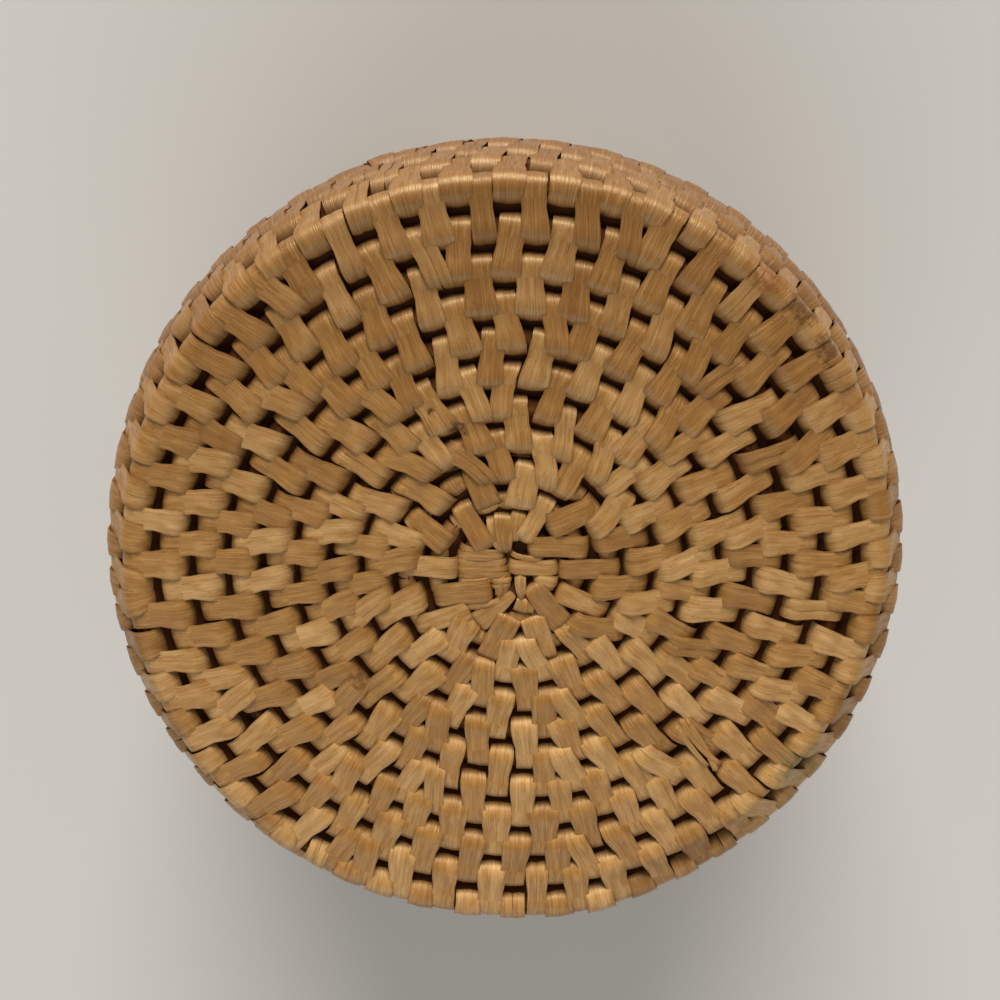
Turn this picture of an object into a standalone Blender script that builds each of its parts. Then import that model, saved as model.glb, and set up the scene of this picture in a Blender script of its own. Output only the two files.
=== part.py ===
"""Round lidded basket of coiled rattan, modelled at its real size.

Each solid is one length of foundation cane with its flat splint wrapping. The body starts as a
flat spiral, climbs into a barrel wall and holds a neck coil inside its mouth. The lid is wound
the same way, turned over, and drops over the neck onto the shoulder.
"""
import math

import bpy
import numpy as np

# Driving sizes in metres
DISC_RADIUS = 0.070        # lid top and base, to the outside of the last flat row
WALL_SWELL = 0.003         # how far the barrel wall bulges past the disc, at the shoulder
CENTRE_RADIUS = 0.0018     # where the spiral starts, from its own centre
CENTRE_PITCH = 0.0050      # row spacing beside the coil's start
ROW_PITCH = 0.0065         # row spacing at the rim of the disc and up the walls
ROW_GAP = 0.0007           # open line between two neighbouring rows
CORNER_EASE = 0.0003       # more room for the row that turns the corner onto the wall
COIL_OFF_AXIS = 0.0024     # the spiral's centre lies this far from the basket's axis
COIL_OFF_ANGLE = math.radians(47.0)

# Rows counted on the walls
WALL_ROWS = 7
SHOULDER_ROWS = 2          # the top wall rows, wound from a cane of their own
NECK_ROWS = 4
LID_WALL_ROWS = 4
LID_RIM_ROWS = 1           # the lowest lid row, wound from a cane of its own

# Clearances
SPLICE_GAP = 0.0003        # between two lengths of cane, end to end
SEAT_GAP = 0.0003          # lid rim over shoulder, and neck inside wall
LID_PLAY = 0.0005          # neck to lid wall, all round
END_GAP = 0.0030           # between the ends of the rim cane and the shoulder cane
FOOT_CUT_SHARE = 0.1       # of the cane's diameter, taken off flat under the base
CUTTER_MARGIN = 0.010      # how far the foot's cutter reaches past what it cuts

# Facets of a wound cane
LOOP_POINTS = 18
CANE_SIDES_STEP = 1        # bevel resolution, six sides
FLAT_SIDE = math.cos(math.pi / 6)
FACET_SHRINK = math.cos(math.pi / LOOP_POINTS)
SPLICE_PLACE = 0.5         # a splice lies midway between two points
SETTLE_STEPS = 40          # halvings that lay a wall row on the barrel

# The folded tip inside the first turn, in row pitches from the spiral's centre
TIP_ROUTE = ((0.27, -0.05), (0.27, 0.12), (0.18, 0.30), (-0.06, 0.43), (-0.36, 0.38))
TIP_SHARE = 0.60           # thickness of the folded tip against the first row
TIP_TURN = 0.22            # the spiral takes over from the tip here
START_TURNS = 1.5          # the start piece ends half way round its second turn

CANE_RADIUS = (ROW_PITCH - ROW_GAP) / 2
FLAT_HALF = CANE_RADIUS * FLAT_SIDE
FOOT_HEIGHT = FLAT_HALF - 2 * CANE_RADIUS * FOOT_CUT_SHARE
WALL_FOOT_RADIUS = DISC_RADIUS - CANE_RADIUS
BELLY_RADIUS = DISC_RADIUS + WALL_SWELL
SHOULDER_RADIUS = BELLY_RADIUS - CANE_RADIUS
NECK_RADIUS = SHOULDER_RADIUS - 2 * FLAT_HALF - SEAT_GAP
LID_RIM_RADIUS = (NECK_RADIUS + FLAT_HALF + LID_PLAY) / FACET_SHRINK + FLAT_HALF
FLAT_TURNS = (WALL_FOOT_RADIUS - CENTRE_RADIUS) * 2 / (CENTRE_PITCH + ROW_PITCH)
PITCH_GROWTH = (ROW_PITCH - CENTRE_PITCH) / FLAT_TURNS
COIL_CENTRE = COIL_OFF_AXIS * np.array((math.cos(COIL_OFF_ANGLE), -math.sin(COIL_OFF_ANGLE)))


class Cane:
    """A centre line with the cane's radius and the lean of the row at each point."""

    def __init__(self, points, radii, leans):
        self.points = np.array(points, dtype=float)
        self.radii = np.array(radii, dtype=float)
        self.leans = np.array(leans, dtype=float)

    def length_of(self, first, last):
        """The stretch between two places, which may lie between points, less half a splice."""
        inner = np.arange(math.floor(first) + 1, math.ceil(last))
        places = np.concatenate(((first,), inner, (last,)))
        index = np.arange(len(self.points))
        points = np.stack([np.interp(places, index, self.points[:, k]) for k in range(3)], axis=1)
        for end, beside in ((0, 1), (-1, -2)):
            run = points[beside] - points[end]
            points[end] += run / np.linalg.norm(run) * SPLICE_GAP / 2
        radii = np.interp(places, index, self.radii)
        return Cane(points, radii, np.interp(places, index, self.leans))

    def turned_over(self):
        """The same cane turned half round the X axis."""
        return Cane(self.points * (1, -1, -1), self.radii, self.leans)


def flat_radius(turns):
    """Distance of the cane from the spiral's centre after so many turns."""
    return CENTRE_RADIUS + CENTRE_PITCH * turns + PITCH_GROWTH * turns ** 2 / 2


def flat_cane_radius(turns):
    """The cane thickens outward as the row spacing does."""
    return (min(CENTRE_PITCH + PITCH_GROWTH * turns, ROW_PITCH) - ROW_GAP) / 2


def barrel_radius(height, belly_radius, wall_height):
    """Radius of the wall's centre line, bulging from the disc's edge to the belly."""
    share = min(max(height / wall_height, 0.0), 1.0)
    return WALL_FOOT_RADIUS + (belly_radius - WALL_FOOT_RADIUS) * math.sin(share * math.pi / 2)


def lay_row_on(below, spacing, belly_radius, wall_height):
    """A point of a wall row, on the barrel and one spacing from the point under it, and its lean."""
    under = math.hypot(below[0], below[1])
    low, high = 0.0, math.pi
    for _ in range(SETTLE_STEPS):
        lean = (low + high) / 2
        outward = spacing * math.cos(lean)
        rise = spacing * math.sin(lean)
        if under + outward > barrel_radius(below[2] + rise, belly_radius, wall_height):
            low = lean
        else:
            high = lean
    share = 1 + outward / under
    return (below[0] * share, below[1] * share, below[2] + rise), lean


def wind_cane(belly_radius, wall_rows, start_angle):
    """Wind a flat spiral that climbs into a wall. The outside of the disc faces down."""
    wall_height = wall_rows * ROW_PITCH
    points, radii, leans = [], [], []
    wall_start = None
    step = 0
    while wall_start is None or step <= wall_start + wall_rows * LOOP_POINTS:
        turns = step / LOOP_POINTS
        angle = start_angle - 2 * math.pi * turns
        flat = COIL_CENTRE + flat_radius(turns) * np.array((math.cos(angle), math.sin(angle)))
        if wall_start is None and math.hypot(*flat) > WALL_FOOT_RADIUS:
            wall_start = step
        if wall_start is None:
            cane = flat_cane_radius(turns)
            points.append((flat[0], flat[1], cane - CANE_RADIUS))
            radii.append(cane)
            leans.append(0.0)
        else:
            below = step - LOOP_POINTS
            spacing = radii[below] + CANE_RADIUS + ROW_GAP
            if below < wall_start:
                spacing += CORNER_EASE
            point, lean = lay_row_on(points[below], spacing, belly_radius, wall_height)
            points.append(point)
            radii.append(CANE_RADIUS)
            leans.append(lean)
        step += 1
    return Cane(points, radii, leans), wall_start


def fold_tip(cane, start_angle):
    """Put the folded tip of the cane ahead of the spiral's first turn."""
    taken = math.ceil(TIP_TURN * LOOP_POINTS)
    along = np.array((math.cos(start_angle), math.sin(start_angle)))
    across = np.array((-along[1], along[0]))
    thin = cane.radii[taken] * TIP_SHARE
    tip = []
    for right, up in TIP_ROUTE:
        place = COIL_CENTRE + CENTRE_PITCH * (right * across + up * along)
        tip.append((place[0], place[1], thin - CANE_RADIUS))
    points = np.concatenate((np.array(tip), cane.points[taken:]))
    radii = np.concatenate((np.full(len(tip), thin), cane.radii[taken:]))
    leans = np.concatenate((np.zeros(len(tip)), cane.leans[taken:]))
    return Cane(points, radii, leans), len(tip) - taken


def wind_neck(wall, wall_end, lid_face):
    """A coil rising inside the mouth from beside the top wall row, clear of the lid's wall."""
    points = []
    first = wall_end - LOOP_POINTS
    for step in range(NECK_ROWS * LOOP_POINTS + 1):
        beside = wall.points[first + step % LOOP_POINTS]
        height = wall.points[first][2] + ROW_PITCH * step / LOOP_POINTS
        lid_wall = barrel_radius(lid_face - height, LID_RIM_RADIUS, LID_WALL_ROWS * ROW_PITCH)
        room = (lid_wall - FLAT_HALF) * FACET_SHRINK - LID_PLAY - FLAT_HALF
        radius = min(NECK_RADIUS, room)
        share = radius / math.hypot(beside[0], beside[1])
        points.append((beside[0] * share, beside[1] * share, height))
    return Cane(points, np.full(len(points), CANE_RADIUS), np.full(len(points), math.pi / 2))


def azimuth(point):
    """Angle of a point round the basket's axis."""
    return math.atan2(point[1], point[0])


def spun(cane, angle):
    """The same cane turned about the basket's axis."""
    cos, sin = math.cos(angle), math.sin(angle)
    turn = np.array(((cos, sin, 0), (-sin, cos, 0), (0, 0, 1)))
    return Cane(cane.points @ turn, cane.radii, cane.leans)


def seat_height(rim, shoulder):
    """How high the turned lid stands so that its lowest turn clears the body's top turn."""
    angles = np.array([azimuth(point) for point in shoulder])
    around = np.concatenate((angles - 2 * math.pi, angles, angles + 2 * math.pi))
    order = np.argsort(around)
    heights = np.tile(shoulder[:, 2], 3)[order]
    radii = np.tile(np.hypot(shoulder[:, 0], shoulder[:, 1]), 3)[order]
    reach = 2 * CANE_RADIUS + SEAT_GAP
    needed = []
    for point in rim:
        under = np.interp(azimuth(point), around[order], heights)
        outward = math.hypot(point[0], point[1]) - np.interp(azimuth(point), around[order], radii)
        needed.append(under + math.sqrt(reach ** 2 - min(abs(outward), reach) ** 2) - point[2])
    return max(needed)


def least_gap(cane):
    """The least distance between two turns of one cane, surface to surface."""
    starts, ends = cane.points[:-1], cane.points[1:]
    runs = ends - starts
    gaps = []
    for index, point in enumerate(cane.points):
        share = np.einsum('ij,ij->i', point - starts, runs) / np.einsum('ij,ij->i', runs, runs)
        share = np.clip(share, 0, 1)[:, None]
        distance = np.linalg.norm(starts + share * runs - point, axis=1)
        apart = np.abs(np.arange(len(starts)) - index) > LOOP_POINTS // 2
        if apart.any():
            clear = distance - cane.radii[index] - cane.radii[:-1]
            gaps.append(clear[apart].min())
    return min(gaps)


def clear_scene():
    """Remove whatever the scene holds."""
    for thing in list(bpy.data.objects):
        bpy.data.objects.remove(thing, do_unlink=True)


def rattan(name, red, green, blue, roughness):
    """Wrapped rattan in one tone."""
    material = bpy.data.materials.new(name)
    material.use_nodes = True
    shader = material.node_tree.nodes["Principled BSDF"]
    shader.inputs["Base Color"].default_value = (red, green, blue, 1.0)
    shader.inputs["Roughness"].default_value = roughness
    shader.inputs["Metallic"].default_value = 0.0
    return material


def wrapped_cane(name, cane, material, parent):
    """One length of cane as an unbroken six-sided tube with closed ends."""
    curve = bpy.data.curves.new(name, 'CURVE')
    curve.dimensions = '3D'
    curve.twist_mode = 'Z_UP'
    curve.bevel_depth = 1.0
    curve.bevel_resolution = CANE_SIDES_STEP
    curve.use_fill_caps = True
    spline = curve.splines.new('POLY')
    spline.points.add(len(cane.points) - 1)
    for knot, place, radius, lean in zip(spline.points, cane.points, cane.radii, cane.leans):
        knot.co = (*place, 1.0)
        knot.radius = radius
        knot.tilt = lean
    curve.materials.append(material)
    solid = bpy.data.objects.new(name, curve)
    bpy.context.scene.collection.objects.link(solid)
    solid.parent = parent
    return solid


def as_mesh(solid):
    """Swap a curve object for a mesh object of the same name and place."""
    bpy.context.view_layer.update()
    graph = bpy.context.evaluated_depsgraph_get()
    mesh = bpy.data.meshes.new_from_object(solid.evaluated_get(graph))
    name, parent = solid.name, solid.parent
    bpy.data.objects.remove(solid, do_unlink=True)
    swapped = bpy.data.objects.new(name, mesh)
    bpy.context.scene.collection.objects.link(swapped)
    swapped.parent = parent
    return swapped


def foot_cutter(parent, top):
    """A block under the base that trims it flat."""
    side = 2 * (DISC_RADIUS + CUTTER_MARGIN)
    depth = 2 * CANE_RADIUS + CUTTER_MARGIN
    bpy.ops.mesh.primitive_cube_add(size=1.0, location=(0, 0, top - depth / 2))
    cutter = bpy.context.active_object
    cutter.name = "foot_cutter"
    cutter.scale = (side, side, depth)
    cutter.parent = parent
    cutter.hide_render = True
    cutter.display_type = 'WIRE'
    return cutter


def trim_foot(solid, cutter):
    """Cut a base solid flat where it stands."""
    flat = as_mesh(solid)
    cut = flat.modifiers.new("foot", 'BOOLEAN')
    cut.operation = 'DIFFERENCE'
    cut.solver = 'EXACT'
    cut.object = cutter
    return flat


def empty(name, location):
    """A parent empty that stands for a whole assembly."""
    holder = bpy.data.objects.new(name, None)
    bpy.context.scene.collection.objects.link(holder)
    holder.location = location
    return holder


def build_body(cane, wall_start, shift, wall_end, rise, tone):
    """Base, wall, shoulder and neck, standing on the trimmed base."""
    holder = empty("body_axis", (0, 0, FOOT_HEIGHT))
    start_end = shift + START_TURNS * LOOP_POINTS + SPLICE_PLACE
    wall_first = wall_start + SPLICE_PLACE
    shoulder_first = wall_end - SHOULDER_ROWS * LOOP_POINTS - SPLICE_PLACE
    lengths = {
        "base_start": cane.length_of(0, start_end),
        "base_coil": cane.length_of(start_end, wall_first),
        "wall_coil": cane.length_of(wall_first, shoulder_first),
        "shoulder_coil": cane.length_of(shoulder_first, wall_end),
        "neck_coil": wind_neck(cane, wall_end, rise),
    }
    cutter = foot_cutter(holder, -FOOT_HEIGHT)
    for name, length in lengths.items():
        solid = wrapped_cane(name, length, tone[name], holder)
        if name.startswith("base"):
            trim_foot(solid, cutter)
        print("least gap of", name, "to itself: %.2f mm" % (least_gap(length) * 1000))


def build_lid(cane, wall_start, shift, wall_end, seat, tone):
    """Lid top, lid wall and rim, on the axis that the lid lifts along."""
    holder = empty("lid_axis", (0, 0, seat))
    start_end = shift + START_TURNS * LOOP_POINTS + SPLICE_PLACE
    wall_first = wall_start + SPLICE_PLACE
    rim_first = wall_end - LID_RIM_ROWS * LOOP_POINTS - SPLICE_PLACE
    lengths = {
        "lid_start": cane.length_of(0, start_end),
        "lid_top_coil": cane.length_of(start_end, wall_first),
        "lid_wall_coil": cane.length_of(wall_first, rim_first),
        "lid_rim_coil": cane.length_of(rim_first, wall_end),
    }
    for name, length in lengths.items():
        wrapped_cane(name, length, tone[name], holder)
        print("least gap of", name, "to itself: %.2f mm" % (least_gap(length) * 1000))


def main():
    clear_scene()
    tone = {
        "base_start": rattan("rattan_base_start", 0.42, 0.25, 0.10, 0.50),
        "base_coil": rattan("rattan_base", 0.44, 0.26, 0.11, 0.50),
        "wall_coil": rattan("rattan_wall", 0.47, 0.28, 0.12, 0.48),
        "shoulder_coil": rattan("rattan_shoulder", 0.45, 0.27, 0.11, 0.48),
        "neck_coil": rattan("rattan_neck", 0.50, 0.31, 0.14, 0.52),
        "lid_start": rattan("rattan_lid_start", 0.43, 0.26, 0.11, 0.46),
        "lid_top_coil": rattan("rattan_lid_top", 0.46, 0.28, 0.12, 0.46),
        "lid_wall_coil": rattan("rattan_lid_wall", 0.48, 0.30, 0.14, 0.48),
        "lid_rim_coil": rattan("rattan_lid_rim", 0.45, 0.28, 0.12, 0.48),
    }
    start_angle = -math.pi / 2
    body, body_wall = wind_cane(SHOULDER_RADIUS, WALL_ROWS, start_angle)
    body, body_shift = fold_tip(body, start_angle)
    body_wall += body_shift
    body_end = body_wall + WALL_ROWS * LOOP_POINTS
    lid, lid_wall = wind_cane(LID_RIM_RADIUS, LID_WALL_ROWS, start_angle)
    lid, lid_shift = fold_tip(lid, start_angle)
    lid_wall += lid_shift
    lid_end = lid_wall + LID_WALL_ROWS * LOOP_POINTS
    lid = lid.turned_over()
    meeting = azimuth(lid.points[lid_end]) + END_GAP / SHOULDER_RADIUS
    body = spun(body, meeting - azimuth(body.points[body_end]))
    rim = lid.points[lid_end - LOOP_POINTS + 1:lid_end + 1]
    rise = seat_height(rim, body.points[body_end - LOOP_POINTS + 1:body_end + 1])
    build_body(body, body_wall, body_shift, body_end, rise, tone)
    build_lid(lid, lid_wall, lid_shift, lid_end, FOOT_HEIGHT + rise, tone)


main()
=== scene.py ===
"""Lidded rattan basket: coiled cane bound row to row with flat rattan splint.

Each long stitch goes over its own row and the row inside it, and dives between two long stitches
of that row, so the stitches lie like bricks. A coil is worked out with its outside face down, as
a maker winds it, and is then set where the basket or its lid stands.
"""

import math

import bmesh
import bpy
import numpy as np
from mathutils import Matrix, Vector


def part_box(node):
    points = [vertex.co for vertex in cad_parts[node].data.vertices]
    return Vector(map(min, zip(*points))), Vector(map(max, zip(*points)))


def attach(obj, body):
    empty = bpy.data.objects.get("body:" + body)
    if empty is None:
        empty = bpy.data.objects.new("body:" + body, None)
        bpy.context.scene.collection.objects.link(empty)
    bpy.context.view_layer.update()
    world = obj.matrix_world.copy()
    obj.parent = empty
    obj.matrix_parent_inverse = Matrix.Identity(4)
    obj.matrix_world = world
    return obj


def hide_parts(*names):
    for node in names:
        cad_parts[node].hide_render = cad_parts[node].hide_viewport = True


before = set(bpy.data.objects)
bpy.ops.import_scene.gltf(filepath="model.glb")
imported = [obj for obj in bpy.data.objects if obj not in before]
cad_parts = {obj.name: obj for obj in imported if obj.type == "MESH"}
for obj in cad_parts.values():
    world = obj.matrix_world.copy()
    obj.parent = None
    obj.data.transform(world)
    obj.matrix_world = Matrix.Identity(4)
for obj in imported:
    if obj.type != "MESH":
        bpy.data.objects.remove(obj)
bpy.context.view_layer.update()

bl_info = {
    "name": "Lidded Rattan Basket",
    "version": (1, 0, 0),
    "blender": (4, 5, 0),
    "location": "View3D > Sidebar > Basket",
    "description": "Coiled rattan basket with a lift-off lid, stitched with split rattan",
    "category": "Add Mesh",
}

# Samples of a coil's centre line
SAMPLES = 72               # on one turn
SOLID_STEPS = 18           # the solids are wound with this many points on one turn
HALVINGS = 30              # that lay a wall row on the barrel
CORE_SIDES = 8
CORE_STEP = 2              # samples between two rings of the core
CORE_FROM = 0.3            # turns; the drawn splints alone make what lies inside this
CORE_SHADE_DEPTH = np.array((1.0, 1.0, 0.4, 1.0, 1.0, 1.0, 0.4, 1.0))    # how deep in the gaps each side of its section lies, which sets the painted shade there
SPLICE_GAP = 0.0003        # between two lengths of cane, end to end
FOOT_CUT_SHARE = 0.1       # of the cane's diameter, taken off flat under the base
WALL_TONE_FROM = 0.008     # height up a wall where its handled tone sets in
WALL_TONE_OVER = 0.010     # and the height over which it does
START_TURNS = 1.5          # the start piece ends half way round its second turn

# A closed splint's stations, one line each: angle round its row in degrees, half runs between the
# two rows passed so far, share of the row inside, sag between the rows, lift, width
STATIONS = np.array((
    (0, 1, 0.25, 0.6, 0.85, 0.88),
    (2, 2, 0, 0, 0.6, 0.88),
    (25, 2, 0, 0, 0.3, 0.95),
    (50, 2, 0, 0, 0, 0.99),
    (80, 2, 0, 0, 0, 1.02),
    (115, 2, 0, 0, 0, 1.02),
    (160, 2, 0, 0, 0, 0.97),
    (180, 4, 0.5, 1, 0, 0.94),
    (200, 6, 1, 0, 0, 0.94),
    (245, 6, 1, 0, 0, 0.94),
    (280, 6, 1, 0, 0, 0.92),
    (310, 6, 1, 0, 0.3, 0.98),
    (335, 6, 1, 0, 0.8, 1.02),
    (358, 6, 1, 0, 1, 1.0),
    (360, 7, 0.75, 0.6, 1, 0.93),
    (360, 8, 0.5, 1, 0.9, 0.83)))
STATION_ANGLES = np.radians(STATIONS[:, 0])
STATION_RUN, STATION_SHARE, STATION_SAG, STATION_LIFT, STATION_WIDTH = STATIONS[:, 1:].T
EVEN_ANGLES = np.arange(len(STATIONS)) * 2 * math.pi / len(STATIONS)
# and its section: across in half widths, up in thicknesses, and share of the crown
ACROSS = np.array((0.0, -1.0, -0.94, 0.94, 1.0))
UP = np.array((1.0, 0.85, 0.0, 0.0, 0.85))
CROWN = np.array((1.0, 0.0, 0.0, 0.0, 0.0))

# The start of a coil, in millimetres from the spiral's centre, seen from outside. Each splint has
# its outer end, middle and inner end, three widths, the height of its inner face at both ends over
# the middle of the cane, and its crown.
START_SPLINTS = (
    ((-13.9, -5.3), (-9.0, -4.6), (-4.3, -3.8), (4.2, 4.2, 4.0), (2.40, 3.05), 0.14),
    ((-6.6, -10.4), (-3.6, -7.6), (-0.3, -4.6), (4.2, 3.4, 1.7), (2.40, 2.70), 0.14),
    ((-8.6, -7.0), (-4.8, -6.6), (-1.0, -5.0), (1.6, 1.2, 0.9), (2.50, 2.55), 0.10),
    ((8.9, -10.4), (6.0, -7.0), (3.1, -3.0), (4.4, 4.3, 3.6), (2.40, 2.95), 0.20),
    ((12.4, 4.2), (7.5, 4.3), (2.3, 4.3), (4.2, 3.8, 3.6), (2.40, 2.95), 0.14),
    ((5.2, 12.8), (3.1, 8.9), (1.0, 5.3), (3.4, 3.3, 3.5), (2.40, 2.95), 0.14),
    ((-9.7, 11.2), (-7.4, 7.4), (-4.9, 3.6), (3.6, 3.8, 4.2), (2.40, 2.95), 0.14),
    ((-2.0, 9.6), (-2.1, 6.4), (-1.7, 3.0), (3.9, 3.3, 1.6), (2.55, 2.60), 0.20),
    ((-4.5, 9.0), (-4.0, 5.4), (-2.3, 2.9), (1.6, 1.0, 0.7), (2.50, 2.50), 0.10),
    ((0.4, 10.2), (-0.2, 7.4), (-0.4, 5.0), (2.6, 2.2, 1.6), (2.45, 2.45), 0.12),
    ((-9.4, 3.5), (-6.0, 3.0), (-2.6, 2.9), (1.6, 1.3, 1.1), (2.55, 2.55), 0.12),
    ((-9.8, 2.2), (-6.0, 2.1), (-2.3, 2.2), (1.6, 1.4, 1.2), (2.60, 2.60), 0.12),
    ((-9.9, 1.0), (-6.0, 1.0), (-1.9, 1.1), (1.6, 1.4, 1.3), (2.55, 2.60), 0.12),
    ((-9.9, -0.3), (-5.5, -0.2), (-1.4, -0.1), (1.6, 1.5, 1.3), (2.60, 2.55), 0.12),
    ((-9.8, -1.6), (-5.0, -1.4), (-0.9, -1.2), (1.6, 1.4, 1.1), (2.55, 2.60), 0.12),
    ((-9.6, -2.9), (-7.0, -2.6), (-4.0, -2.1), (1.6, 1.3, 1.0), (2.55, 2.55), 0.12),
    ((7.2, 0.5), (3.2, 0.3), (-0.9, 0.5), (3.0, 2.8, 2.6), (2.55, 2.75), 0.20),
    ((4.8, 2.0), (2.0, 2.1), (-0.7, 2.7), (1.0, 1.0, 0.9), (2.60, 2.60), 0.10),
    ((7.0, -2.7), (5.4, -2.2), (3.7, -1.9), (2.9, 2.5, 2.0), (2.55, 2.55), 0.25),
    ((1.6, -7.9), (1.8, -6.8), (2.0, -5.6), (3.8, 3.5, 3.0), (2.55, 2.55), 0.20),
    ((0.9, -1.1), (1.0, -3.2), (1.3, -5.5), (1.9, 1.9, 1.0), (2.55, 2.55), 0.55),
    ((-2.2, -1.6), (-2.3, -3.4), (-2.8, -5.2), (3.0, 2.5, 1.2), (2.55, 2.55), 0.55),
    ((-4.0, -2.3), (-2.4, -2.2), (-0.9, -2.0), (0.9, 0.9, 0.7), (2.80, 3.00), 0.12),
    ((-3.8, -3.3), (-2.4, -3.1), (-1.1, -2.8), (0.8, 0.8, 0.6), (2.80, 3.00), 0.12),
)
# The round after it, on the cane that follows, and where those splints cross, in turns
SECOND_SPLINTS = (
    ((-4.5, -17.2), (-2.6, -13.0), (-0.7, -8.9), (4.6, 4.6, 4.4), (2.36, 2.90), 0.14),
    ((6.0, -17.0), (4.7, -13.0), (3.2, -8.9), (4.2, 4.6, 4.4), (2.36, 2.80), 0.14),
    ((16.2, -7.6), (12.0, -5.8), (7.8, -3.9), (3.2, 3.8, 3.8), (2.36, 2.85), 0.14),
    ((18.0, 0.6), (13.0, 0.3), (7.8, 0.2), (3.4, 3.6, 3.4), (2.36, 2.85), 0.14),
    ((13.2, 11.8), (9.5, 9.7), (5.3, 7.9), (3.6, 4.6, 4.6), (2.36, 2.90), 0.14),
    ((2.0, 18.8), (1.0, 15.0), (0.3, 11.0), (4.4, 5.0, 5.4), (2.36, 2.90), 0.14),
    ((-8.0, 18.0), (-6.3, 14.6), (-4.6, 11.2), (3.8, 4.4, 4.8), (2.36, 2.85), 0.14),
    ((-18.2, 9.3), (-15.0, 6.5), (-11.6, 4.0), (3.6, 4.4, 4.4), (2.36, 2.85), 0.14),
    ((-19.9, 0.3), (-15.0, 0.1), (-10.3, 0.0), (3.4, 3.9, 4.0), (2.36, 2.90), 0.14),
    ((-17.2, -11.0), (-12.5, -9.5), (-8.0, -7.8), (3.4, 3.7, 3.4), (2.36, 2.85), 0.14),
)
CROSSINGS = (2.305, 2.47, 2.54, 2.68, 2.75, 2.875, 2.985, 3.066, 3.19, 3.25, 3.35)
# Slivers of one splint of the lid that has split and lifted
LOOSE_SPLINTS = (
    ((30.8, -28.0), (34.4, -33.0), (38.6, -36.6), (0.9, 1.3, 0.8), (2.8, 3.1), 0.10),
    ((31.6, -27.6), (36.0, -34.4), (37.6, -37.8), (0.8, 1.2, 0.9), (2.8, 3.2), 0.10),
    ((30.2, -29.4), (32.6, -33.0), (36.4, -37.2), (0.8, 1.0, 0.7), (2.8, 3.0), 0.10),
)
# Stains on the lid: place and size in millimetres as above, strength, and which colour
STAINS = (
    (-10.4, 24.7, 2.2, 0.9, "dust_and_shade"), (22.8, 7.9, 2.0, 0.5, "dust_and_shade"),
    (-27.4, -21.6, 2.4, 0.7, "dust_and_shade"), (-15.1, 27.8, 0.9, 0.9, "dust_and_shade"),
    (-3.1, 13.7, 0.9, 0.6, "dust_and_shade"), (46.9, 46.9, 4.5, 0.7, "dust_and_shade"),
    (51.0, 40.0, 3.5, 0.7, "dust_and_shade"), (40.5, 52.0, 4.5, 0.7, "rust"),
    (55.0, 33.0, 4.0, 0.4, "rust"), (54.0, -38.0, 7.0, 0.6, "moss"),
)
# A drawn splint's ends: how far in its first and last rings lie and how far they drop, millimetres
END_INSET = np.array((0.0, 0.0, 0.35, 1.0, 2.0))
END_DROP = np.array((2.6, 1.2, 0.45, 0.1, 0.0))
FLAT_RINGS = 3             # between its two ends
SHORT_SPLINT = 6           # millimetres; a shorter one has shorter ends
LONG_SPLINT = 8            # millimetres; a longer one sags by LONG_SAG in its middle
LONG_SAG = 0.25
INSIDE_LOWER = 1.2         # millimetres; the thin first rows lie that much lower inside

# How the long stitches vary
UNEVEN_SPACING = 0.08      # share of the spacing
UNEVEN_HOLE = 0.45         # millimetres along the cane
CATCH_UP = 0.15            # share of the lead of the row inside that a stitch makes up
CATCH_UP_MOST = 4          # millimetres of that lead
SHARED_HOLE = 1.3          # two stitches in one hole lie this many millimetres off its middle
SHARED_PINCH = 0.66        # share of their width that is left there
SHARED_LIFT = 0.9          # thicknesses by which the second one lies on the first
SPLIT_CHANCE = 0.07        # share of the stitches that are split lengthwise
SPLIT_APART = 0.26         # widths that the two halves lie off the middle at the outer edge
SPLIT_WIDTH = 0.47         # widths that each half has
SPLIT_OVER = 0.3           # thicknesses by which one half lies higher
OUTER_WIDER = 0.05         # share by which splints are wider further out
WIDER_FROM, WIDER_OVER = 7, 3      # the turn where that sets in, and over how many turns
# Close single wraps that lie under the stitches of the first turns
UNDER_FROM, UNDER_TO = 1.02, 4.2   # turns
UNDER_WIDTH = 0.84         # widths of a splint
UNDER_SINK = 0.9           # thicknesses
GOLDEN = 0.618             # spreads their tones evenly without a random draw
SINGLE_STEP = 1.7          # half widths from one wrap to the next at a coil's very end
# A splint's way round its row
BEND = 0.4                 # radius of its bend, in row spacings
OVER_INSIDE = 1.3          # thicknesses by which an inner end clears the row inside
PINCH_REACH = 0.0045       # splint either side of a hole that is narrower
DUST_AND_SHADE_REACH = 0.0023        # splint beside a gap that is darkened, for dust and for painted shade there
STACKED = 3.3              # most thicknesses of splint under the base


def length(name, default, description):
    """A size in metres, shown in the scene's unit."""
    return bpy.props.FloatProperty(
        name=name, default=default, unit='LENGTH', description=description)


def colour(name, default, description):
    """A colour, typed as an sRGB hex code."""
    return bpy.props.StringProperty(
        name=name, default=default, description=description + ", sRGB hex")


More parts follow.
